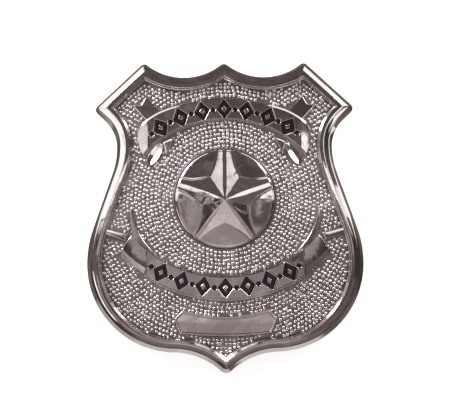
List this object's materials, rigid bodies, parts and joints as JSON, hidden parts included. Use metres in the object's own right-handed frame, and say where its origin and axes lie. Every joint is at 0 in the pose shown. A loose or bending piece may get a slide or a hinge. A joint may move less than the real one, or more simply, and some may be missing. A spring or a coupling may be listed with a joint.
{
  "type": "security shield badge",
  "caption": "Shield-shaped nickel security badge with a beaded face, raised rim, ribbons, blank number plate and domed star medallion; pins to clothing.",
  "frame": {"origin": "middle of the badge's bounding box, at the back edge of its rim, where it rests on a surface", "axes": "+X to the viewer's right, +Y to the top of the badge, +Z out of its face"},
  "size_m": [0.0624, 0.0701, 0.0104],
  "materials": {
    "nickel": "polished nickel plate, with a frosted beaded ground",
    "medallion_nickel": "mirror-polished nickel plate",
    "black_enamel": "gloss",
    "pin_steel": "satin nickel plate"
  },
  "bodies": {
    "root": {"shield": "nickel", "star_medallion": "medallion_nickel", "upper_enamel": "black_enamel", "lower_enamel": "black_enamel", "pin_back": "pin_steel"}
  },
  "joints": []
}
